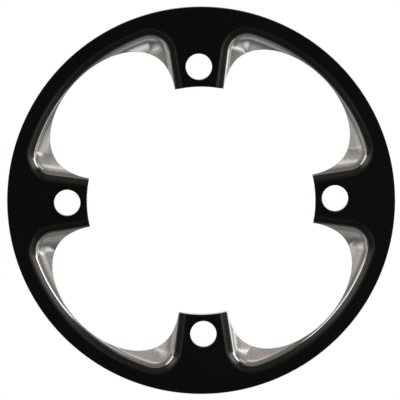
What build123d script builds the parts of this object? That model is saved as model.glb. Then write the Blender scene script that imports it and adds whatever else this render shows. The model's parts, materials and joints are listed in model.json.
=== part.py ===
from build123d import *
import os
from math import cos, radians, sin, sqrt, tan

# Chainring guard: one flat ring with four bolt tabs. Millimetres.
# Origin at the centre of the back face, +Z out of the front face, tabs along X and Y.

# Plate
outer_diameter = 150.6
thickness = 5.0
edge_break = 0.4

# Bolt tabs
tab_count = 4
bolt_circle = 104.0
bolt_hole = 10.2
seat_diameter = 13.4
seat_depth = 1.2
tip_reach = 7.7
tip_width = 17.5
tab_flare = 8.1

# Windows between the tabs, at the bevel's lower edge
rim_width = 7.4
window_corner = 8.0
bevel_width = 2.1
bevel_depth = 1.2

# Slope inside the bevel: a steep cove, then a shallow floor down to a small radius in each corner
cove_width = 0.9
cove_depth = 0.68
floor_slope = 6.0
floor_corner = 0.1

# Oval cut through the floor: how far its edge stands inside the window's edge, and its ellipse in degrees
oval_offset = 48.5
ring_lip = 0.8
side_web = 5.1
tip_lip = 0.7
oval_stretch = 198.0

# Derived sizes
half_pitch = 180 / tab_count
side_angle = half_pitch - tab_flare
sill_height = thickness - bevel_depth
cove_height = sill_height - cove_depth
floor_width = window_corner - cove_width - floor_corner
floor_height = cove_height - floor_width * tan(radians(floor_slope))
bore_radius = bolt_circle / 2 - tip_reach
window_radius = outer_diameter / 2 - rim_width
overrun = bore_radius / 8

# Along a tab's side towards the ring, and square to it into the window, with X along the window's middle
along = Vector(cos(radians(side_angle)), sin(radians(side_angle)))
across = Vector(sin(radians(side_angle)), -cos(radians(side_angle)))


def tab_end(width):
    """Find where a tab of this width meets the bore, carried on a little into the bore."""
    half = width / 2
    height = sqrt(bore_radius**2 - half**2)
    turn = radians(half_pitch)
    corner = Vector(height * cos(turn) + half * sin(turn), height * sin(turn) - half * cos(turn))
    return corner - along * overrun


def window_outline(grow):
    """Draw a window's outline, moved outward by grow, from side to side and closed inside the bore."""
    inner = tab_end(tip_width) - across * grow
    radius = window_radius + grow
    corner = window_corner + grow
    # The corner's centre is one corner radius from the side and one inside the ring
    beside = inner + across * corner
    ahead = beside.dot(along)
    centre = beside + along * (sqrt(ahead**2 - beside.dot(beside) + (radius - corner)**2) - ahead)
    outward = centre.normalized()
    foot = centre - across * corner
    touch = outward * radius
    middle = centre + (outward - across).normalized() * corner
    with BuildLine() as outline:
        Line((inner.X, -inner.Y), (foot.X, -foot.Y))
        ThreePointArc((foot.X, -foot.Y), (middle.X, -middle.Y), (touch.X, -touch.Y))
        ThreePointArc((touch.X, -touch.Y), (radius, 0), (touch.X, touch.Y))
        ThreePointArc((touch.X, touch.Y), (middle.X, middle.Y), (foot.X, foot.Y))
        Line((foot.X, foot.Y), (inner.X, inner.Y))
        Line((inner.X, inner.Y), (inner.X, -inner.Y))
    return outline.edges()


def oval_outline():
    """Draw the oval: an ellipse over most of its way, whose ends bend round to the tips of the tabs."""
    side = tab_end(tip_width)
    inner = tab_end(tip_width + 2 * tip_lip)
    depth = window_radius - ring_lip - oval_offset
    width = side.Y + (oval_offset - side.X) * tan(radians(side_angle)) - side_web
    start = -oval_stretch / 2
    with BuildLine() as outline:
        oval = EllipticalCenterArc((oval_offset, 0), depth, width, start, arc_size=oval_stretch)
        TangentArc(oval @ 1, (inner.X, inner.Y), tangent=oval % 1)
        TangentArc(oval @ 0, (inner.X, -inner.Y), tangent=-(oval % 0))
        Line((inner.X, inner.Y), (inner.X, -inner.Y))
    return outline.edges()


# Cutter for one window: up the floor, the cove and the bevel, and straight through the oval
with BuildPart() as window:
    with BuildSketch(Plane.XY.offset(floor_height)) as floor:
        make_face(window_outline(-cove_width - floor_width))
    with BuildSketch(Plane.XY.offset(cove_height)) as cove:
        make_face(window_outline(-cove_width))
    with BuildSketch(Plane.XY.offset(sill_height)) as sill:
        make_face(window_outline(0))
    with BuildSketch(Plane.XY.offset(thickness + bevel_depth)) as mouth:
        make_face(window_outline(2 * bevel_width))
    loft(ruled=True)
    with BuildSketch() as oval:
        make_face(oval_outline())
    extrude(amount=thickness, both=True)

with BuildPart() as guard_ring:
    Cylinder(outer_diameter / 2, thickness, align=(Align.CENTER, Align.CENTER, Align.MIN))
    chamfer(guard_ring.edges().filter_by(GeomType.CIRCLE), edge_break)
    Cylinder(bore_radius, 3 * thickness, mode=Mode.SUBTRACT)
    with PolarLocations(0, tab_count, start_angle=half_pitch):
        add(window.part, mode=Mode.SUBTRACT)
    with Locations(Plane.XY.offset(thickness)):
        with PolarLocations(bolt_circle / 2, tab_count):
            CounterBoreHole(bolt_hole / 2, seat_diameter / 2, seat_depth)

guard_ring.part.label = "guard_ring"
os.makedirs("parts", exist_ok=True)
export_step(guard_ring.part, "parts/guard_ring.step")
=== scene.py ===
"""Looks of a chainring guard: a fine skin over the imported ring, its two finishes, floor, light and camera."""

import json
import logging
import math
from collections.abc import Callable
from dataclasses import dataclass
from enum import Enum

import bpy
import numpy as np
from mathutils import Matrix, Quaternion, Vector
from mathutils.geometry import tessellate_polygon


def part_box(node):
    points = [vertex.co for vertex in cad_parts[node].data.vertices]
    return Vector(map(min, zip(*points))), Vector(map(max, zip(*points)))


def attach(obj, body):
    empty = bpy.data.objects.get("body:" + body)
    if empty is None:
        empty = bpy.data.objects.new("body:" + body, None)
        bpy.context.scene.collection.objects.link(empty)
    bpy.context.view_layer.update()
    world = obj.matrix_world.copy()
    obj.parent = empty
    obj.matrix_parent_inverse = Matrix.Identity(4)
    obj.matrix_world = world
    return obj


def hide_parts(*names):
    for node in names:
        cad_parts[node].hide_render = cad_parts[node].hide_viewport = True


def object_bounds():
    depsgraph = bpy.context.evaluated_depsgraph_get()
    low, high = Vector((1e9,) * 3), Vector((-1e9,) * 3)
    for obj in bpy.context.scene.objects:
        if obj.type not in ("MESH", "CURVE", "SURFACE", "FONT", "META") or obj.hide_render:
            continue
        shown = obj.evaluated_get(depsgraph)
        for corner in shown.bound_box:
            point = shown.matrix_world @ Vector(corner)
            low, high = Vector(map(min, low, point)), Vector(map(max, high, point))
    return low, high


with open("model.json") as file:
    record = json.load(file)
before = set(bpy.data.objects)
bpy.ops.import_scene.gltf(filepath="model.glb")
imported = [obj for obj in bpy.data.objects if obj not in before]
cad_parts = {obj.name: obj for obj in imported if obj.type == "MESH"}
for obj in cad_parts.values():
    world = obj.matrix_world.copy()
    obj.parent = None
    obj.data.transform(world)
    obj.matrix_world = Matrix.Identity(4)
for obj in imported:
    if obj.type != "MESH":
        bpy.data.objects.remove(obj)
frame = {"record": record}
CAD_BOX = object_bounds()

LOG = logging.getLogger("guard")
METRES = 0.001
NODE = "guard_ring"
BODY = "root"

# Names of the numbers that the skin carries from point to point for its finishes
RUN = "run"
REACH = "reach"
TOOLED = "tooled"

# Shares of a tangent arc between which it is searched for the bore, and the number of tries
ARC_SEARCH = (0.6, 1.4, 801)
# Largest share of a side that a round may take at one of its ends
ROUND_SHARE = 0.45

# Value about which a noise pattern swings
NOISE_MIDDLE = 0.5

# How far from the ring its panels stand, and how high above it the other lamps hang, in millimetres
LAMP_RANGE = 600.0

Pair = tuple[float, float]
Colour = tuple[float, float, float]
Point = tuple[float, float, float]
Curve = Callable[[np.ndarray], np.ndarray]


class Finish(Enum):
    """Which finish a face of the ring has, by its material's place on the mesh."""

    BLACK = 0
    BARE = 1


class Term:
    """A shader socket that joins in sums as a plain number does."""

    def __init__(self, graph: "Graph", socket: bpy.types.NodeSocket) -> None:
        """Wrap one output socket of the graph."""
        self.graph = graph
        self.socket = socket

    def _math(self, operation: str, left: "Term | float", right: "Term | float") -> "Term":
        """Add the Math node of one operation on two values."""
        return self.graph.node("ShaderNodeMath", {"operation": operation}, {0: left, 1: right})

    def __add__(self, other: "Term | float") -> "Term":
        """Add a value to this one."""
        return self._math("ADD", self, other)

    def __radd__(self, other: float) -> "Term":
        """Add this value to a number."""
        return self._math("ADD", other, self)

    def __sub__(self, other: "Term | float") -> "Term":
        """Take a value from this one."""
        return self._math("SUBTRACT", self, other)

    def __rsub__(self, other: float) -> "Term":
        """Take this value from a number."""
        return self._math("SUBTRACT", other, self)

    def __mul__(self, other: "Term | float") -> "Term":
        """Multiply this value by another."""
        return self._math("MULTIPLY", self, other)

    def __rmul__(self, other: float) -> "Term":
        """Multiply a number by this value."""
        return self._math("MULTIPLY", other, self)

    def larger(self, other: "Term | float") -> "Term":
        """Keep the larger of this value and another."""
        return self._math("MAXIMUM", self, other)


class Graph:
    """Nodes of one material or world, added one at a time and linked as they are made."""

    def __init__(self, tree: bpy.types.NodeTree) -> None:
        """Empty a node tree and take it over."""
        tree.nodes.clear()
        self.tree = tree

    def node(self, kind: str, settings: dict, sockets: dict, output: int | str = 0) -> Term:
        """Add a node, set its settings first and then feed its sockets.

        Args:
            kind: Blender's name for the node's type.
            settings: Its properties by name.
            sockets: Values, colours or Terms by a socket's place, identifier or name.
            output: Place, identifier or name of the output that is handed back.

        Returns:
            The chosen output, or the node's first input if it has no outputs.
        """
        node = self.tree.nodes.new(kind)
        for name, setting in settings.items():
            setattr(node, name, setting)
        for key, given in sockets.items():
            socket = self._pick(node.inputs, key)
            if isinstance(given, Term):
                self.tree.links.new(given.socket, socket)
            else:
                socket.default_value = given
        return Term(self, self._pick(node.outputs, output) if node.outputs else node.inputs[0])

    @staticmethod
    def _pick(sockets: bpy.types.bpy_prop_collection, key: int | str) -> bpy.types.NodeSocket:
        """Find a socket by its identifier, or else by its place or name."""
        return next((socket for socket in sockets if socket.identifier == key), None) or sockets[key]

    def carried(self, name: str) -> Term:
        """Read a number that the mesh carries from point to point."""
        return self.node("ShaderNodeAttribute", {"attribute_name": name}, {}, "Fac")

    def vector(self, x: Term | float, y: Term | float, z: Term | float) -> Term:
        """Join three values into a vector."""
        return self.node("ShaderNodeCombineXYZ", {}, {"X": x, "Y": y, "Z": z})

    def noise(self, place: Term, scale: float, detail: float, roughness: float = 0.5) -> Term:
        """Add a noise pattern.

        Args:
            place: Vector that the pattern is laid out on.
            scale: Number of blotches to each unit of that vector.
            detail: Number of finer layers.
            roughness: Strength of each finer layer against the one before.

        Returns:
            The pattern's value, from 0 to 1 about a middle of one half.
        """
        sockets = {"Vector": place, "Scale": scale, "Detail": detail, "Roughness": roughness}
        return self.node("ShaderNodeTexNoise", {"noise_dimensions": "3D"}, sockets, "Fac")

    def ramp(self, value: Term, low: float, high: float) -> Term:
        """Turn a value into a share that rises smoothly from 0 to 1 between two limits.

        Args:
            value: The value.
            low: Limit at which the share is 0.
            high: Limit at which it is 1.

        Returns:
            The share.
        """
        sockets = {"Value": value, "From Min": low, "From Max": high}
        return self.node("ShaderNodeMapRange", {"interpolation_type": "SMOOTHSTEP"}, sockets)

    def blend(self, share: Term | float, first: Term | Colour, second: Term | Colour) -> Term:
        """Mix two colours.

        Args:
            share: Share of the second colour.
            first: Colour at a share of 0.
            second: Colour at a share of 1.

        Returns:
            The mixed colour.
        """
        colours = [given if isinstance(given, Term) else (*given, 1.0) for given in (first, second)]
        sockets = {"Factor_Float": share, "A_Color": colours[0], "B_Color": colours[1]}
        return self.node("ShaderNodeMix", {"data_type": "RGBA"}, sockets, "Result_Color")

    def bump(self, height: Term, strength: float, distance: float) -> Term:
        """Turn a height into a normal, with the distance in metres that a height of 1 stands for."""
        return self.node("ShaderNodeBump", {}, {"Height": height, "Strength": strength, "Distance": distance})

    def surface(self, shader: Term, kind: str = "ShaderNodeOutputMaterial") -> None:
        """Send a shader to the material's or the world's output."""
        self.node(kind, {}, {"Surface": shader})


@dataclass(frozen=True)
class BlackAnodising:
    """Satin black anodising over a fine blasted grain, smoother and glossier on the bevel that a cutter left.

    A swing is how far a pattern carries the roughness over its whole range. wear holds the values of the
    mottle between which deep turns to worn, and grain_cut is the share of the grain that the cutter took.
    """

    deep: Colour = (0.0016, 0.0017, 0.0017)
    worn: Colour = (0.0040, 0.0039, 0.0037)
    wear: Pair = (0.35, 0.7)
    face_roughness: float = 0.34
    bevel_roughness: float = 0.21
    face_gloss: float = 0.12
    oxide_ior: float = 1.75
    mottle_per_metre: float = 60.0
    mottle_detail: float = 4.0
    mottle_swing: float = 0.10
    grain_per_metre: float = 5200.0
    grain_detail: float = 3.0
    grain_swing: float = 0.08
    grain_height: float = 0.000006
    grain_cut: float = 0.7

    def material(self) -> bpy.types.Material:
        """Make the finish as a material.

        Returns:
            The new material.
        """
        made = bpy.data.materials.new("black_anodising")
        made.use_nodes = True
        graph = Graph(made.node_tree)
        place = graph.node("ShaderNodeTexCoord", {}, {}, "Object")
        grain = graph.noise(place, self.grain_per_metre, self.grain_detail)
        mottle = graph.noise(place, self.mottle_per_metre, self.mottle_detail)
        tooled = graph.carried(TOOLED)
        roughness = self.face_roughness - (self.face_roughness - self.bevel_roughness) * tooled
        roughness += self.mottle_swing * (mottle - NOISE_MIDDLE)
        roughness += self.grain_swing * (grain - NOISE_MIDDLE)
        sockets = {
            "Base Color": graph.blend(graph.ramp(mottle, *self.wear), self.deep, self.worn),
            "Roughness": roughness,
            "Specular IOR Level": self.face_gloss,
            "Coat Weight": tooled,
            "Coat Roughness": self.bevel_roughness,
            "Coat IOR": self.oxide_ior,
            "Normal": graph.bump(grain * (1.0 - self.grain_cut * tooled), 1.0, self.grain_height),
        }
        graph.surface(graph.node("ShaderNodeBsdfPrincipled", {}, sockets))
        return made


@dataclass(frozen=True)
class BareMetal:
    """Aluminium cut after anodising: streaks across the web, finer cutter lines along it, and soft clouds.

    Streaks and lines together are the marks. polish holds the values of marks and clouds between which dull
    turns to clean, a stretch is how fast a pattern changes along its own length, and the swing is how far
    streaks or clouds carry the roughness over their whole range.
    """

    dull: Colour = (0.71, 0.70, 0.685)
    clean: Colour = (0.83, 0.825, 0.815)
    polish: Pair = (0.34, 0.62)
    roughness: float = 0.125
    roughness_swing: float = 0.06
    streaks_per_mm: float = 1.1
    streak_detail: float = 3.0
    streak_layers: float = 0.6
    streak_stretch: float = 0.08
    streak_share: float = 0.6
    lines_per_mm: float = 5.0
    line_detail: float = 2.0
    line_stretch: float = 0.03
    clouds_per_metre: float = 130.0
    cloud_detail: float = 3.0
    mark_share: float = 0.5
    mark_strength: float = 0.8
    mark_height: float = 0.000003

    def material(self) -> bpy.types.Material:
        """Make the finish as a material.

        Returns:
            The new material.
        """
        made = bpy.data.materials.new("bare_metal")
        made.use_nodes = True
        graph = Graph(made.node_tree)
        run = graph.carried(RUN)
        reach = graph.carried(REACH)
        place = graph.node("ShaderNodeTexCoord", {}, {}, "Object")
        across = graph.vector(run, self.streak_stretch * reach, 0.0)
        along = graph.vector(self.line_stretch * run, reach, 0.0)
        streaks = graph.noise(across, self.streaks_per_mm, self.streak_detail, self.streak_layers)
        lines = graph.noise(along, self.lines_per_mm, self.line_detail)
        clouds = graph.noise(place, self.clouds_per_metre, self.cloud_detail)
        marks = self.streak_share * streaks + (1.0 - self.streak_share) * lines
        pattern = self.mark_share * marks + (1.0 - self.mark_share) * clouds
        roughness = self.roughness + self.roughness_swing * (streaks - NOISE_MIDDLE)
        roughness += self.roughness_swing * (clouds - NOISE_MIDDLE)
        sockets = {
            "Base Color": graph.blend(graph.ramp(pattern, *self.polish), self.dull, self.clean),
            "Metallic": 1.0,
            "Roughness": roughness,
            "Normal": graph.bump(marks, self.mark_strength, self.mark_height),
        }
        graph.surface(graph.node("ShaderNodeBsdfPrincipled", {}, sockets))
        return made


@dataclass(frozen=True)
class WhiteSheet:
    """Matt white sheet under the ring, shown as white paper to the eye and to glossy metal.

    shown is how bright it looks to them, and shadow_share is the share of that look that takes a shadow.
    """

    colour: Colour = (0.80, 0.80, 0.80)
    shown: float = 1.04
    shadow_share: float = 0.05

    def material(self) -> bpy.types.Material:
        """Make the finish as a material.

        Returns:
            The new material.
        """
        made = bpy.data.materials.new("white_sheet")
        made.use_nodes = True
        graph = Graph(made.node_tree)
        glowing = self.seen_directly(graph) * (1.0 - self.shadow_share)
        paper = graph.node("ShaderNodeBsdfDiffuse", {}, {"Color": (*self.colour, 1.0)})
        glow = graph.node("ShaderNodeEmission", {}, {"Strength": self.shown})
        graph.surface(graph.node("ShaderNodeMixShader", {}, {0: glowing, 1: paper, 2: glow}))
        return made

    @staticmethod
    def seen_directly(graph: Graph) -> Term:
        """Find the rays that show the sheet: those of the eye, of gloss and of glass.

        Args:
            graph: Nodes of the sheet.

        Returns:
            1 on such a ray and 0 on the rays that carry light about.
        """
        camera = graph.node("ShaderNodeLightPath", {}, {}, "Is Camera Ray")
        glossy = graph.node("ShaderNodeLightPath", {}, {}, "Is Glossy Ray")
        through = graph.node("ShaderNodeLightPath", {}, {}, "Is Transmission Ray")
        return camera.larger(glossy).larger(through)


@dataclass
class GuardRing:
    """The guard's skin: one closed mesh over the ring, its windows, its rim and its bolt holes.

    Lengths are in millimetres, angles in degrees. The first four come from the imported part, those from
    edge_break to oval_stretch repeat its source, and the rest shape the skin alone.
    """

    outer_radius: float
    thickness: float
    bolt_radius: float
    hole_radius: float
    edge_break: float = 0.4
    seat_radius: float = 6.7
    seat_depth: float = 1.2
    tip_reach: float = 7.7
    tip_width: float = 17.5
    tab_flare: float = 8.1
    rim_width: float = 7.4
    window_corner: float = 8.0
    bevel_width: float = 2.1
    bevel_depth: float = 1.2
    cove_width: float = 0.9
    cove_depth: float = 0.68
    floor_slope: float = 6.0
    floor_corner: float = 0.1
    oval_offset: float = 48.5
    ring_lip: float = 0.8
    side_web: float = 5.1
    tip_lip: float = 0.7
    oval_stretch: float = 198.0
    corner_stretch: float = 27.0
    floor_hollow: float = 3.0
    round_edge: float = 0.9
    round_oval: float = 0.2
    round_heel: float = 0.2
    round_tip: float = 0.35
    round_rim: float = 0.12
    round_hole: float = 0.16

    TABS = 4
    # Steps of the mesh along each stretch of an eighth of the ring
    RING_STEPS = 56
    CORNER_STEPS = 40
    SIDE_STEPS = 26
    TIP_STEPS = 8
    BORE_STEPS = 10
    # Steps down each stretch of the section, and the power that crowds those of the slope into the cove
    ROUND_STEPS = 6
    BEVEL_STEPS = 4
    SLOPE_STEPS = 20
    LAND_STEPS = 2
    SLOPE_CROWDING = 2
    # Levels of the section above the bare metal and below it
    FRONT_LEVELS = 2
    BACK_LEVELS = 2
    # Steps once round the rim and once round a bolt hole
    RIM_COLUMNS = 480
    HOLE_COLUMNS = 96
    # How far beyond each end of a section its extra point lies
    ANCHOR = 1.0

    def __post_init__(self) -> None:
        """Work out the radii and directions that the outlines share."""
        self.bore = self.bolt_radius - self.tip_reach
        self.window_radius = self.outer_radius - self.rim_width
        self.half_pitch = math.pi / self.TABS
        side = self.half_pitch - math.radians(self.tab_flare)
        self.along = np.array((math.cos(side), math.sin(side)))
        self.across = np.array((math.sin(side), -math.cos(side)))
        self.side = self.tab_end(self.tip_width / 2)
        beside = self.side + self.across * self.window_corner
        ahead = beside @ self.along
        reach = self.window_radius - self.window_corner
        self.corner = beside + self.along * (math.sqrt(ahead**2 - beside @ beside + reach**2) - ahead)
        self.touch = math.atan2(self.corner[1], self.corner[0])

    @classmethod
    def from_frame(cls, record: dict) -> "GuardRing":
        """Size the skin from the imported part.

        Args:
            record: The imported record, with the bolts' mount.

        Returns:
            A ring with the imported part's own diameter, thickness and bolt pattern.
        """
        low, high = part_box(NODE)
        bolts = next(mount for mount in record["mounts"] if mount["name"] == "bolts")["dims"]
        return cls(
            outer_radius=(high.x - low.x) / 2 / METRES,
            thickness=(high.z - low.z) / METRES,
            bolt_radius=bolts["pcd_mm"] / 2,
            hole_radius=bolts["hole_r_mm"],
        )

    def tab_end(self, half: float) -> np.ndarray:
        """Find where a tab's side meets the bore.

        Args:
            half: Half of the tab's width there.

        Returns:
            The point, in plan, with the window's middle along X.
        """
        height = math.sqrt(self.bore**2 - half**2)
        axis = np.array((math.cos(self.half_pitch), math.sin(self.half_pitch)))
        square = np.array((math.sin(self.half_pitch), -math.cos(self.half_pitch)))
        return axis * height + square * half

    def window_half(self, grow: float, bore: float) -> np.ndarray:
        """Trace half a window's outline from the middle of the ring side to a tab's tip.

        Args:
            grow: How far the outline is moved outward.
            bore: Radius at which it ends.

        Returns:
            Points by column, with the window's middle along X. The last two are the start of the tip's
            round and the sharp tip itself.
        """
        radius = self.window_corner + grow
        foot = self.corner - self.across * radius
        turned = math.atan2(*(foot - self.corner)[::-1])
        ring = arc(np.zeros(2), self.window_radius + grow, 0.0, self.touch, self.RING_STEPS)
        bend = arc(self.corner, radius, self.touch, turned, self.CORNER_STEPS)
        reach = foot @ self.along
        run = reach - math.sqrt(reach**2 - foot @ foot + bore**2)
        tip = self._to_tip(lambda shares: foot - np.outer(shares * run, self.along), run)
        return np.vstack((ring, bend, tip))

    def oval_half(self, grow: float, bore: float) -> np.ndarray:
        """Trace half of the oval through-opening in the same columns as the window's outline.

        Args:
            grow: How far the oval is moved outward.
            bore: Radius at which it ends.

        Returns:
            Points by column, with the window's middle along X.
        """
        depth = self.window_radius - self.ring_lip - self.oval_offset + grow
        flank = self.side[1] + (self.oval_offset - self.side[0]) * self.along[1] / self.along[0]
        width = flank - self.side_web + grow
        end = math.radians(self.oval_stretch / 2)
        start = end - math.radians(self.corner_stretch)
        centre = np.array((self.oval_offset, 0.0))

        def ellipse(first: float, last: float, steps: int) -> np.ndarray:
            """Trace a stretch of the ellipse, without its last point."""
            turn = np.linspace(first, last, steps, endpoint=False)
            return centre + np.column_stack((depth * np.cos(turn), width * np.sin(turn)))

        leave = ellipse(end, end, 1)[0]
        heading = np.array((-depth * math.sin(end), width * math.cos(end)))
        inner = self.tab_end(self.tip_width / 2 + self.tip_lip - grow)
        tip = self._to_tip(*tangent_arc(leave, heading, inner, bore))
        ring, bend = ellipse(0.0, start, self.RING_STEPS), ellipse(start, end, self.CORNER_STEPS)
        return np.vstack((ring, bend, tip))

    def _to_tip(self, curve: Curve, length: float) -> np.ndarray:
        """Trace the run beside a tab, stopping short of the tip to leave room for its round.

        Args:
            curve: Function from shares of the run, 0 to 1, to points.
            length: Length of the run.

        Returns:
            Points down to the start of the tip's round, then the sharp tip.
        """
        shares = np.linspace(0.0, 1.0 - self.round_tip / length, self.SIDE_STEPS)
        return curve(np.append(shares, 1.0))

    def inset(self, plan: np.ndarray) -> np.ndarray:
        """Find how far points inside a window lie from its edge.

        Args:
            plan: Points in half a window, with its middle along X.

        Returns:
            Distance of each point from the nearest of the ring side, the corner and the tab's side.
        """
        beside = (plan - self.side) @ self.across
        below = self.window_radius - np.linalg.norm(plan, axis=1)
        around = self.window_corner - np.linalg.norm(plan - self.corner, axis=1)
        by_side = (plan - self.corner) @ self.along < 0
        by_ring = np.arctan2(plan[:, 1], plan[:, 0]) < self.touch
        nearest = np.where(by_side, beside, np.where(by_ring, below, around))
        return np.where(by_side & by_ring, np.minimum(beside, below), nearest)

    def slope_height(self, plan: np.ndarray) -> np.ndarray:
        """Find the height of the bare slope: a steep cove under the bevel eased into a shallow, hollow floor.

        Args:
            plan: Points in half a window, with its middle along X.

        Returns:
            Height of each point.
        """
        reach = self.window_corner - self.floor_corner
        inset = np.clip(self.inset(plan), 0.0, reach)
        fall = math.tan(math.radians(self.floor_slope))
        cove = (self.cove_depth - fall * self.cove_width) * (1.0 - np.exp(-inset / self.cove_width))
        hollow = math.tan(math.radians(self.floor_hollow)) * inset * (1.0 - inset / reach)
        return self.thickness - self.bevel_depth - fall * inset - cove - hollow

    def eighth(self, plan: np.ndarray, height: np.ndarray | float, bore: float) -> np.ndarray:
        """Carry a level of the section on from a tab's tip to the tab's axis.

        Args:
            plan: The level's points from a window's middle to the sharp tip.
            height: Height of each point, or one for all.
            bore: Radius of the bore's wall at this level.

        Returns:
            Points by column, 3-D, the last one on the tab's axis.
        """
        before, tip = plan[-2], plan[-1]
        first = math.atan2(tip[1], tip[0]) + self.round_tip / bore
        wall = arc(np.zeros(2), bore, first, self.half_pitch, self.BORE_STEPS, closed=True)
        bend = bezier(before, tip, wall[0], self.TIP_STEPS)[1:-1]
        flat = np.vstack((plan[:-1], bend, wall))
        heights = np.broadcast_to(height, len(plan))
        level = np.concatenate((heights[:-1], np.full(len(bend) + len(wall), heights[-1])))
        return np.column_stack((flat, level))

    def around(self, eighth: np.ndarray) -> np.ndarray:
        """Repeat an eighth, mirrored and turned, into the whole way round.

        Args:
            eighth: Points by column from a window's middle to a tab's axis.

        Returns:
            Points by column, once round, starting on a tab's axis.
        """
        mirrored = eighth[:0:-1] * np.array((1.0, -1.0, 1.0))
        quarter = np.vstack((mirrored, eighth[:-1]))
        turns = [np.array(Matrix.Rotation((2 * k + 1) * self.half_pitch, 3, "Z")) for k in range(self.TABS)]
        return np.vstack([quarter @ turn.T for turn in turns])

    def section_rows(self) -> tuple[np.ndarray, np.ndarray]:
        """Lay out the skin inside the ring, row by row from the face down to the back.

        Returns:
            Points by row and column, and for each strip between two rows whether a cutter bared it.
        """
        bore, wide = self.bore, self.bore + self.ANCHOR
        edge, oval = self.window_half(0.0, bore), self.oval_half(0.0, bore)
        top, sill = self.thickness, self.thickness - self.bevel_depth
        levels = [
            self.eighth(self.window_half(self.bevel_width + self.ANCHOR, wide), top, wide),
            self.eighth(self.window_half(self.bevel_width, bore), top, bore),
            self.eighth(edge, sill, bore),
        ]
        shares = np.linspace(0.0, 1.0, self.SLOPE_STEPS + 1)[1:] ** self.SLOPE_CROWDING
        for plan in (edge + share * (oval - edge) for share in shares):
            levels.append(self.eighth(plan, self.slope_height(plan), bore))
        levels.append(self.eighth(oval, 0.0, bore))
        levels.append(self.eighth(self.oval_half(self.ANCHOR, wide), 0.0, wide))
        plain = self.SLOPE_STEPS - 1
        setbacks = (self.round_edge, 0.0, *(0.0,) * plain, self.round_oval, self.round_heel)
        spans = (0, self.BEVEL_STEPS, *(1,) * plain, 1, self.LAND_STEPS)
        whole = np.array([self.around(level) for level in levels])
        rows, zones = rounded(whole, setbacks, self.ROUND_STEPS, spans)
        return rows, (zones >= self.FRONT_LEVELS) & (zones < len(levels) - self.BACK_LEVELS)

    def window_columns(self) -> np.ndarray:
        """Mark the spans round the ring that lie in a window and not on a tab's tip.

        Returns:
            A mark for each column of the skin inside the ring.
        """
        open_spans = self.RING_STEPS + self.CORNER_STEPS + self.SIDE_STEPS - 1
        tip_spans = self.TIP_STEPS + self.BORE_STEPS - 1
        inside = np.arange(open_spans + tip_spans) < open_spans + self.TIP_STEPS // 2
        return np.tile(np.concatenate((inside[::-1], inside)), self.TABS)

    def turned_rows(self, section: list[Pair], setback: float, columns: int, outward: bool) -> np.ndarray:
        """Turn a section about its own axis, with each of its corners rounded.

        Args:
            section: Radius and height of each corner, with a point beyond each end.
            setback: How far each round starts from its corner.
            columns: Number of steps once round.
            outward: Whether the skin faces away from the axis.

        Returns:
            Points by row and column about the axis.
        """
        turn = np.linspace(0.0, 2 * math.pi, columns, endpoint=False)
        turn = -turn if outward else turn
        circle = np.column_stack((np.cos(turn), np.sin(turn)))
        levels = np.array([np.column_stack((radius * circle, np.full(columns, z))) for radius, z in section])
        corners = len(section) - 2
        return rounded(levels, (setback,) * corners, self.ROUND_STEPS, (0,) + (1,) * (corners - 1))[0]

    def rim_section(self) -> list[Pair]:
        """List the corners of the rim's section from the face to the back.

        Returns:
            Radius and height of each corner, with a point beyond each end.
        """
        top, cut, outer = self.thickness, self.edge_break, self.outer_radius
        front = [(outer - self.ANCHOR, top), (outer - cut, top), (outer, top - cut)]
        return front + [(radius, top - height) for radius, height in reversed(front)]

    def bolt_section(self) -> list[Pair]:
        """List the corners of a bolt hole's section from the face, down its seat, to the back.

        Returns:
            Radius and height of each corner, with a point beyond each end.
        """
        top, seat, hole = self.thickness, self.seat_radius, self.hole_radius
        floor = top - self.seat_depth
        sunk = [(seat + self.ANCHOR, top), (seat, top), (seat, floor)]
        return sunk + [(hole, floor), (hole, 0.0), (hole + self.ANCHOR, 0.0)]

    def inner_strip(self, skin: "Skin") -> np.ndarray:
        """Add the skin inside the ring, with the numbers that its finishes read.

        Args:
            skin: The mesh that the strip joins.

        Returns:
            Index of each point, by row and column.
        """
        rows, bared = self.section_rows()
        bare = bared[:, None] & self.window_columns()[None, :]
        index = skin.strip(rows, np.where(bare, Finish.BARE.value, Finish.BLACK.value))
        steps = np.linalg.norm(np.diff(rows, axis=0), axis=2)
        skin.carry(REACH, index, np.vstack((np.zeros(rows.shape[1]), np.cumsum(steps, axis=0))))
        along = np.linalg.norm(np.diff(rows[0], axis=0, prepend=rows[0][-1:]), axis=1)
        skin.carry(RUN, index, np.broadcast_to(np.cumsum(along), index.shape))
        from_face = np.arange(len(rows))
        tooled = np.minimum(np.minimum(from_face, from_face[::-1]) / self.ROUND_STEPS, 1.0)
        skin.carry(TOOLED, index, np.broadcast_to(tooled[:, None], index.shape))
        return index

    def build(self) -> bpy.types.Object:
        """Make the mesh, with its finishes' places and the numbers that they read.

        Returns:
            The ring as one object with two material places.
        """
        skin = Skin()
        rim_rows = self.turned_rows(self.rim_section(), self.round_rim, self.RIM_COLUMNS, True)
        rim = skin.strip(rim_rows, Finish.BLACK.value)
        openings = [self.inner_strip(skin)]
        bolt_rows = self.turned_rows(self.bolt_section(), self.round_hole, self.HOLE_COLUMNS, False)
        for k in range(self.TABS):
            angle = 2 * k * self.half_pitch
            place = np.array((self.bolt_radius * math.cos(angle), self.bolt_radius * math.sin(angle), 0.0))
            openings.append(skin.strip(bolt_rows + place, Finish.BLACK.value))
        skin.plane([rim[0], *(strip[0] for strip in openings)], 1.0)
        skin.plane([rim[-1], *(strip[-1] for strip in openings)], -1.0)
        return skin.make("guard_plate")

    def dress(self, piece: bpy.types.Object) -> None:
        """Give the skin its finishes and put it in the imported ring's place.

        Args:
            piece: The skin, whose faces hold their materials' places already.
        """
        for finish in (BlackAnodising(), BareMetal()):
            piece.data.materials.append(finish.material())
        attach(piece, BODY)
        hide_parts(NODE)


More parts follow.
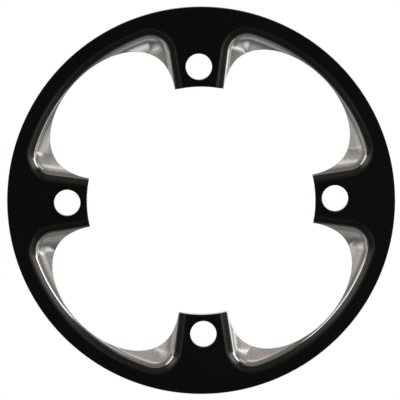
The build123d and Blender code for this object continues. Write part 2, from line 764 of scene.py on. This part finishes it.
class Skin:
    """A mesh that grows strip by strip and plane by plane, with a normal at each point."""

    def __init__(self) -> None:
        """Start with no points."""
        self.points: list[np.ndarray] = []
        self.normals: list[np.ndarray] = []
        self.faces: list[tuple[int, ...]] = []
        self.finishes: list[int] = []
        self.carried: dict[str, list[tuple[np.ndarray, np.ndarray]]] = {}
        self.count = 0

    def strip(self, rows: np.ndarray, finish: np.ndarray | int) -> np.ndarray:
        """Add a strip that closes on itself, from a row on the face to a row on the back.

        Args:
            rows: Points by row and column, in millimetres.
            finish: Material place of each face, by row and column, or one for all.

        Returns:
            Index of each point, by row and column.
        """
        height, width = rows.shape[:2]
        index = self.count + np.arange(height * width).reshape(height, width)
        self.count += height * width
        around = np.roll(rows, -1, axis=1) - np.roll(rows, 1, axis=1)
        down = np.gradient(rows, axis=0)
        normals = np.cross(around, down)
        normals /= np.linalg.norm(normals, axis=2, keepdims=True)
        normals[0] = (0.0, 0.0, 1.0)
        normals[-1] = (0.0, 0.0, -1.0)
        self.points.append(rows.reshape(-1, 3))
        self.normals.append(normals.reshape(-1, 3))
        after = np.roll(index, -1, axis=1)
        quads = np.stack((index[:-1], after[:-1], after[1:], index[1:]), axis=2)
        self.faces.extend(map(tuple, quads.reshape(-1, 4).tolist()))
        self.finishes.extend(np.broadcast_to(finish, quads.shape[:2]).ravel().tolist())
        return index

    def plane(self, loops: list[np.ndarray], facing: float) -> None:
        """Fill a flat face between its outer loop and the loops of its openings.

        Args:
            loops: Index of each loop's points, the outer one first.
            facing: 1 for a face that looks up, -1 for one that looks down.
        """
        points = np.vstack(self.points)
        order = np.concatenate(loops)
        filled = tessellate_polygon([[Vector(points[k]) for k in loop] for loop in loops])
        for triangle in filled:
            a, b, c = (int(order[k]) for k in triangle)
            turn = np.cross(points[b] - points[a], points[c] - points[a])[2]
            self.faces.append((a, b, c) if turn * facing > 0 else (a, c, b))
            self.finishes.append(Finish.BLACK.value)

    def carry(self, name: str, index: np.ndarray, values: np.ndarray) -> None:
        """Give the points of a strip a number each under a name."""
        self.carried.setdefault(name, []).append((index, values))

    def make(self, name: str) -> bpy.types.Object:
        """Turn the gathered faces into an object in metres.

        Args:
            name: Name of the object.

        Returns:
            The new object, linked to the scene.
        """
        mesh = bpy.data.meshes.new(name)
        mesh.from_pydata((np.vstack(self.points) * METRES).tolist(), [], self.faces)
        mesh.polygons.foreach_set("material_index", self.finishes)
        mesh.shade_smooth()
        for carried, parts in self.carried.items():
            values = np.zeros(self.count, np.float32)
            for index, given in parts:
                values[index] = given
            mesh.attributes.new(carried, "FLOAT", "POINT").data.foreach_set("value", values)
        mesh.normals_split_custom_set_from_vertices(np.vstack(self.normals).tolist())
        mesh.update()
        made = bpy.data.objects.new(name, mesh)
        bpy.context.scene.collection.objects.link(made)
        return made


def arc(
    centre: np.ndarray, radius: float, first: float, last: float, steps: int, closed: bool = False
) -> np.ndarray:
    """Trace a circle's arc between two angles.

    Args:
        centre: Centre of the circle.
        radius: Its radius.
        first: Angle of the first point, in radians.
        last: Angle of the end.
        steps: Number of points.
        closed: Whether the last point is the end itself, or one step before it.

    Returns:
        Points by step.
    """
    turn = np.linspace(first, last, steps, endpoint=closed)
    return centre + radius * np.column_stack((np.cos(turn), np.sin(turn)))


def tangent_arc(
    start: np.ndarray, heading: np.ndarray, through: np.ndarray, bore: float
) -> tuple[Curve, float]:
    """Find the arc that leaves a point in a direction, passes a second point and ends on the bore.

    Args:
        start: Where the arc starts.
        heading: Direction in which it leaves.
        through: Point that it passes.
        bore: Radius about the origin at which it ends.

    Returns:
        Function from shares of the arc, 0 to 1, to points, and the arc's length.
    """
    chord = through - start
    square = np.array((-heading[1], heading[0])) / np.linalg.norm(heading)
    radius = (chord @ chord) / (2 * chord @ square)
    centre = start + square * radius
    first = math.atan2(*(start - centre)[::-1])
    swing = math.atan2(*(through - centre)[::-1]) - first
    swing = math.remainder(swing, 2 * math.pi)

    def trace(shares: np.ndarray) -> np.ndarray:
        """Trace the arc as far as the second point, and beyond it past a share of 1."""
        turn = first + swing * np.asarray(shares)
        return centre + abs(radius) * np.column_stack((np.cos(turn), np.sin(turn)))

    tries = np.linspace(*ARC_SEARCH)
    reached = np.linalg.norm(trace(tries), axis=1)
    stop = float(np.interp(-bore, -reached, tries))
    return (lambda shares: trace(np.asarray(shares) * stop)), abs(radius * swing * stop)


def bezier(first: np.ndarray, corner: np.ndarray, last: np.ndarray, steps: int) -> np.ndarray:
    """Round a corner with a curve that touches both of its sides.

    Args:
        first: Where the curve starts.
        corner: The sharp corner.
        last: Where the curve ends.
        steps: Number of spans.

    Returns:
        Points along the curve, both ends included.
    """
    shares = np.linspace(0.0, 1.0, steps + 1).reshape((-1,) + (1,) * np.ndim(first))
    return (1 - shares) ** 2 * first + 2 * shares * (1 - shares) * corner + shares**2 * last


def rounded(
    levels: np.ndarray, setbacks: tuple[float, ...], round_steps: int, flat_steps: tuple[int, ...]
) -> tuple[np.ndarray, np.ndarray]:
    """Round each corner of a section that runs along many columns at once.

    Args:
        levels: Corners by level and column, with one more level beyond each end.
        setbacks: How far from each corner its round starts, 0 for a corner that stays as it is.
        round_steps: Spans in each round.
        flat_steps: Spans in the flat before each corner, 0 for the first.

    Returns:
        Points by row and column, and the level that lies above each strip between two rows.
    """
    rows: list[np.ndarray] = []
    zones: list[int] = []
    for k, (setback, spans) in enumerate(zip(setbacks, flat_steps), start=1):
        ends = []
        for side in (levels[k - 1], levels[k + 1]):
            gap = side - levels[k]
            length = np.linalg.norm(gap, axis=1, keepdims=True)
            ends.append(levels[k] + gap * np.minimum(setback / length, ROUND_SHARE))
        if rows:
            above = rows[-1]
            shares = np.linspace(0.0, 1.0, spans, endpoint=False)[1:]
            rows.extend(above * (1 - share) + ends[0] * share for share in shares)
            zones.extend([k - 1] * spans)
        if setback:
            rows.extend(bezier(ends[0], levels[k], ends[1], round_steps))
            zones.extend(k - 1 if step < round_steps / 2 else k for step in range(round_steps))
        else:
            rows.append(levels[k])
    return np.array(rows), np.array(zones)


class Band(Enum):
    """Lowest and highest elevation of a panel's light, in degrees."""

    LOW = (23.0, 37.0)
    SLIM = (37.7, 44.3)
    MIDDLE = (37.0, 52.0)
    HIGH = (52.0, 66.0)


class Tint(Enum):
    """Colour of a lamp's light."""

    WHITE = (1.0, 1.0, 1.0)
    SOFT = (1.0, 0.97, 0.94)
    WARM = (1.0, 0.95, 0.90)
    AMBER = (1.0, 0.93, 0.80)
    ROSE = (1.0, 0.90, 0.84)


@dataclass(frozen=True)
class Softbox:
    """A plain rectangular lamp that faces the ring. Lengths are in millimetres, angles in degrees.

    Its level is what a mirror would show of it, where 1 is white. Its roll turns it about its own axis.
    """

    name: str
    azimuth: float
    elevation: float
    distance: float
    width: float
    height: float
    level: float
    tint: Tint
    roll: float = 0.0

    @classmethod
    def panel(
        cls, name: str, azimuths: Pair, band: Band, level: float, tint: Tint = Tint.WHITE
    ) -> "Softbox":
        """Stand a lamp beside the ring, where it fills a span of azimuth in one band.

        Args:
            name: The lamp's name.
            azimuths: First and last azimuth of its light.
            band: Band of elevations that it fills.
            level: How bright it is.
            tint: Colour of its light.

        Returns:
            The lamp.
        """
        lowest, highest = band.value
        elevation = (lowest + highest) / 2
        circle = LAMP_RANGE * math.cos(math.radians(elevation))
        return cls(
            name=name,
            azimuth=sum(azimuths) / 2,
            elevation=elevation,
            distance=LAMP_RANGE,
            width=math.radians(azimuths[1] - azimuths[0]) * circle,
            height=math.radians(highest - lowest) * LAMP_RANGE,
            level=level,
            tint=tint,
        )

    @classmethod
    def overhead(
        cls, name: str, start: Pair, end: Pair, width: float, level: float, tint: Tint = Tint.WHITE
    ) -> "Softbox":
        """Hang a lamp over the ring, laid between two points in plan.

        Args:
            name: The lamp's name.
            start: Where its middle line starts.
            end: Where its middle line ends.
            width: Its width across that line.
            level: How bright it is.
            tint: Colour of its light.

        Returns:
            The lamp.
        """
        line = Vector(end) - Vector(start)
        middle = Vector(start) + line / 2
        azimuth = math.atan2(middle.y, middle.x)
        return cls(
            name=name,
            azimuth=math.degrees(azimuth),
            elevation=math.degrees(math.atan2(LAMP_RANGE, middle.length)),
            distance=math.hypot(LAMP_RANGE, middle.length),
            width=width,
            height=line.length,
            level=level,
            tint=tint,
            roll=math.degrees(math.atan2(line.y, line.x) - azimuth),
        )

    def build(self) -> bpy.types.Object:
        """Put the lamp in its place, as bright as its level says.

        Returns:
            The lamp's object.
        """
        lamp = bpy.data.lights.new(self.name, "AREA")
        lamp.shape = "RECTANGLE"
        lamp.size = self.width * METRES
        lamp.size_y = self.height * METRES
        lamp.energy = self.level * math.pi * lamp.size * lamp.size_y
        lamp.color = self.tint.value
        made = bpy.data.objects.new(self.name, lamp)
        bpy.context.scene.collection.objects.link(made)
        turn, lift = math.radians(self.azimuth), math.radians(self.elevation)
        way = Vector((math.cos(turn) * math.cos(lift), math.sin(turn) * math.cos(lift), math.sin(lift)))
        made.location = way * self.distance * METRES
        made.rotation_mode = "QUATERNION"
        rolled = Quaternion((0.0, 0.0, 1.0), math.radians(self.roll))
        made.rotation_quaternion = (-way).to_track_quat("-Z", "Y") @ rolled
        made.visible_camera = False
        return made


@dataclass(frozen=True)
class Surround:
    """The dim room round the lamps: white to the eye, grey to the ring, its ceiling lighter at the far side.

    One tone gives way to the next between two heights of a unit direction, at the wall's foot and head, and
    between two depths of it across the ceiling.
    """

    shown: Colour = (1.0, 1.0, 1.0)
    horizon: Colour = (0.036, 0.036, 0.032)
    wall: Colour = (0.168, 0.170, 0.160)
    ceiling_near: Colour = (0.068, 0.076, 0.070)
    ceiling_far: Colour = (0.385, 0.357, 0.335)
    wall_foot: Pair = (0.40, 0.70)
    wall_head: Pair = (0.88, 0.95)
    ceiling_depth: Pair = (-0.26, 0.14)

    def build(self) -> bpy.types.World:
        """Set the world up.

        Returns:
            The new world.
        """
        world = bpy.data.worlds.new("surround")
        bpy.context.scene.world = world
        world.use_nodes = True
        graph = Graph(world.node_tree)
        way = graph.node("ShaderNodeTexCoord", {}, {}, "Generated")
        height = graph.node("ShaderNodeSeparateXYZ", {}, {0: way}, "Z")
        depth = graph.node("ShaderNodeSeparateXYZ", {}, {0: way}, "Y")
        room = graph.blend(graph.ramp(height, *self.wall_foot), self.horizon, self.wall)
        ceiling = graph.blend(graph.ramp(depth, *self.ceiling_depth), self.ceiling_near, self.ceiling_far)
        room = graph.blend(graph.ramp(height, *self.wall_head), room, ceiling)
        camera = graph.node("ShaderNodeLightPath", {}, {}, "Is Camera Ray")
        colour = graph.blend(camera, room, self.shown)
        graph.surface(graph.node("ShaderNodeBackground", {}, {"Color": colour}), "ShaderNodeOutputWorld")
        return world


@dataclass(frozen=True)
class Floor:
    """The sheet that the ring lies on. Lengths are in millimetres."""

    half_width: float = 3000.0
    gap: float = 0.04
    finish: WhiteSheet = WhiteSheet()

    def build(self) -> bpy.types.Object:
        """Lay the sheet just under the ring's back.

        Returns:
            The floor's object.
        """
        half = self.half_width * METRES
        corners = [(-half, -half, 0.0), (half, -half, 0.0), (half, half, 0.0), (-half, half, 0.0)]
        mesh = bpy.data.meshes.new("floor")
        mesh.from_pydata(corners, [], [(0, 1, 2, 3)])
        mesh.materials.append(self.finish.material())
        made = bpy.data.objects.new("floor", mesh)
        made.location.z = CAD_BOX[0][2] - self.gap * METRES
        bpy.context.scene.collection.objects.link(made)
        return made


@dataclass(frozen=True)
class PhotoCamera:
    """The eye, nearly square on to the ring's face and far off. Lengths in millimetres, angles in degrees."""

    distance: float = 3000.0
    tilt: float = 4.0
    roll: float = 0.97
    aim: Point = (-0.43, 0.35, 5.0)
    seen_width: float = 155.19
    sensor: float = 36.0
    nearest: float = 100.0
    farthest: float = 100000.0

    def build(self) -> bpy.types.Object:
        """Place the camera and make it the scene's own.

        Returns:
            The camera's object.
        """
        data = bpy.data.cameras.new("camera")
        data.sensor_width = self.sensor
        data.lens = self.sensor * self.distance / self.seen_width
        data.clip_start = self.nearest * METRES
        data.clip_end = self.farthest * METRES
        made = bpy.data.objects.new("camera", data)
        bpy.context.scene.collection.objects.link(made)
        tilt, roll = math.radians(self.tilt), math.radians(self.roll)
        back = Vector((0.0, math.sin(tilt), math.cos(tilt)))
        right = Vector((math.cos(roll), -math.sin(roll), 0.0))
        right = (right - back * right.dot(back)).normalized()
        turn = Matrix((right, back.cross(right), back)).transposed().to_4x4()
        made.matrix_world = Matrix.Translation((Vector(self.aim) + back * self.distance) * METRES) @ turn
        bpy.context.scene.camera = made
        return made


# Named by where they are as the camera sees the ring, with far at the top and near at the bottom
LAMPS = (
    Softbox.panel("right_low", (6.0, 38.0), Band.LOW, 2.30, Tint.SOFT),
    Softbox.panel("left_low", (128.0, 165.0), Band.LOW, 1.35, Tint.SOFT),
    Softbox.panel("far_low", (52.0, 128.0), Band.LOW, 0.16, Tint.AMBER),
    Softbox.panel("right_strip", (-8.0, 10.0), Band.MIDDLE, 1.00),
    Softbox.panel("right_mid", (10.0, 40.0), Band.MIDDLE, 0.20),
    Softbox.panel("right_near", (-45.0, -8.0), Band.SLIM, 0.80),
    Softbox.panel("left_mid", (140.0, 187.0), Band.MIDDLE, 0.36, Tint.WARM),
    Softbox.panel("left_near", (205.0, 230.0), Band.MIDDLE, 0.20),
    Softbox.panel("far_right_high", (30.0, 60.0), Band.HIGH, 0.45),
    Softbox.panel("right_high", (-30.0, 0.0), Band.HIGH, 0.30),
    Softbox.panel("left_high", (180.0, 210.0), Band.HIGH, 0.25),
    Softbox.overhead("far_top", (8.5, 112.5), (11.5, 152.5), 185.0, 0.65, Tint.SOFT),
    Softbox.overhead("near_top", (20.0, -64.0), (34.0, -112.0), 66.0, 0.90),
    Softbox.overhead("right_tube", (80.0, -28.0), (290.0, -80.0), 24.0, 1.35),
    Softbox.overhead("near_tube", (0.0, -37.0), (-130.0, -60.0), 18.0, 0.70),
    Softbox.overhead("near_soft", (0.0, -177.0), (0.0, -277.0), 260.0, 0.20, Tint.SOFT),
    Softbox.overhead("right_side", (73.0, -37.0), (162.0, -82.0), 110.0, 0.32, Tint.ROSE),
    Softbox.overhead("left_side", (-73.0, -37.0), (-162.0, -82.0), 110.0, 0.32, Tint.ROSE),
)


def main() -> None:
    """Build the ring, then the stage around it."""
    logging.basicConfig(level=logging.INFO, format="%(name)s: %(message)s")
    bpy.context.scene.view_settings.view_transform = "Standard"
    ring = GuardRing.from_frame(frame["record"])
    piece = ring.build()
    ring.dress(piece)
    LOG.info("%s: %d points, %d faces", piece.name, len(piece.data.vertices), len(piece.data.polygons))
    for part in (Floor(), Surround(), PhotoCamera(), *LAMPS):
        LOG.info("%s is in place", part.build().name)


if __name__ == "__main__":
    main()
